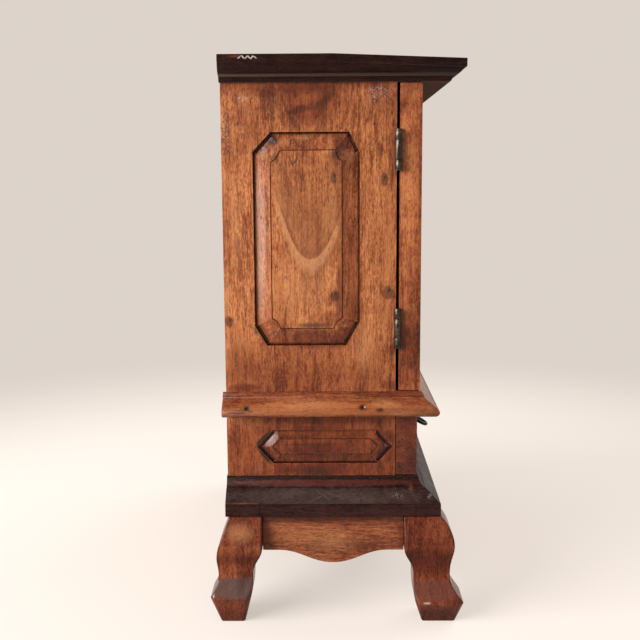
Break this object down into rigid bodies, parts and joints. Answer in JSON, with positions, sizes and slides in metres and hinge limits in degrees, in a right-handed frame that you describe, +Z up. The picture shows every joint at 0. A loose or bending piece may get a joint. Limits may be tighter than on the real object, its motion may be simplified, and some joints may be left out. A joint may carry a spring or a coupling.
{
  "type": "tabletop cabinet with doors",
  "caption": "Tabletop wooden cabinet with carved-panel doors over a shallow drawer, moulded top, waist and base, on a low stand with cabriole legs and shaped aprons.",
  "frame": {"origin": "on the surface it stands on, under the middle of its bounding box", "axes": "+Z up; the doors and drawer face -Y; +X to the right of someone facing them"},
  "size_m": [0.2918, 0.1614, 0.3549],
  "materials": {
    "body_wood": "oiled reddish brown",
    "dark_wood": "dark stained, worn gloss",
    "stand_wood": "oiled red brown",
    "inner_wood": "bare secondary wood",
    "hinge_metal": "dull, tarnished",
    "black_iron": "blackened"
  },
  "bodies": {
    "cabinet": {"back_apron": "stand_wood", "back_panel": "inner_wood", "base_board": "dark_wood", "frame_back_rail": "dark_wood", "frame_front_rail": "dark_wood", "frame_left_rail": "dark_wood", "frame_right_rail": "dark_wood", "front_apron": "stand_wood", "left_apron": "stand_wood", "left_back_leg": "stand_wood", "left_front_leg": "stand_wood", "left_hinge_pins": "hinge_metal", "left_lower_case_leaf": "hinge_metal", "left_side": "body_wood", "left_upper_case_leaf": "hinge_metal", "left_waist": "body_wood", "right_apron": "stand_wood", "right_back_leg": "stand_wood", "right_front_leg": "stand_wood", "right_hinge_pins": "hinge_metal", "right_lower_case_leaf": "hinge_metal", "right_side": "body_wood", "right_upper_case_leaf": "hinge_metal", "right_waist": "body_wood", "shelf": "inner_wood", "top_board": "dark_wood", "waist_board": "inner_wood", "waist_front": "body_wood"},
    "door_left": {"left_door": "body_wood", "left_door_pull_eye": "black_iron", "left_door_pull_rose": "black_iron", "left_lower_door_leaf": "hinge_metal", "left_upper_door_leaf": "hinge_metal"},
    "door_right": {"right_door": "body_wood", "right_door_pull_eye": "black_iron", "right_door_pull_rose": "black_iron", "right_lower_door_leaf": "hinge_metal", "right_upper_door_leaf": "hinge_metal"},
    "drawer": {"drawer_back": "inner_wood", "drawer_bottom": "inner_wood", "drawer_front": "body_wood", "left_drawer_pull_eye": "black_iron", "left_drawer_pull_rose": "black_iron", "left_drawer_side": "inner_wood", "right_drawer_pull_eye": "black_iron", "right_drawer_pull_rose": "black_iron", "right_drawer_side": "inner_wood"},
    "door_ring_left": {"left_door_pull_ring": "black_iron"},
    "door_ring_right": {"right_door_pull_ring": "black_iron"},
    "drawer_ring_left": {"left_drawer_pull_ring": "black_iron"},
    "drawer_ring_right": {"right_drawer_pull_ring": "black_iron"}
  },
  "joints": [
    {"name": "door_left_hinge", "type": "hinge", "parent": "cabinet", "child": "door_left", "pos_m": [-0.1222, -0.03895, 0.24265], "axis": [0, 0, -1], "range_deg": [0, 180]},
    {"name": "door_right_hinge", "type": "hinge", "parent": "cabinet", "child": "door_right", "pos_m": [0.1222, -0.03895, 0.24265], "axis": [0, 0, 1], "range_deg": [0, 180]},
    {"name": "drawer_slide", "type": "slide", "parent": "cabinet", "child": "drawer", "axis": [0, -1, 0], "range_m": [0, 0.08]},
    {"name": "door_ring_left_swing", "type": "hinge", "parent": "door_left", "child": "door_ring_left", "pos_m": [-0.0105, -0.05685, 0.24265], "axis": [-1, 0, 0], "range_deg": [-6, 165]},
    {"name": "door_ring_right_swing", "type": "hinge", "parent": "door_right", "child": "door_ring_right", "pos_m": [0.0105, -0.05685, 0.24265], "axis": [-1, 0, 0], "range_deg": [-6, 165]},
    {"name": "drawer_ring_left_turn", "type": "hinge", "parent": "drawer", "child": "drawer_ring_left", "pos_m": [-0.06, -0.05535, 0.1136], "axis": [-1, 0, 0], "range_deg": [-68, 103]},
    {"name": "drawer_ring_right_turn", "type": "hinge", "parent": "drawer", "child": "drawer_ring_right", "pos_m": [0.06, -0.05535, 0.1136], "axis": [-1, 0, 0], "range_deg": [-68, 103]}
  ]
}
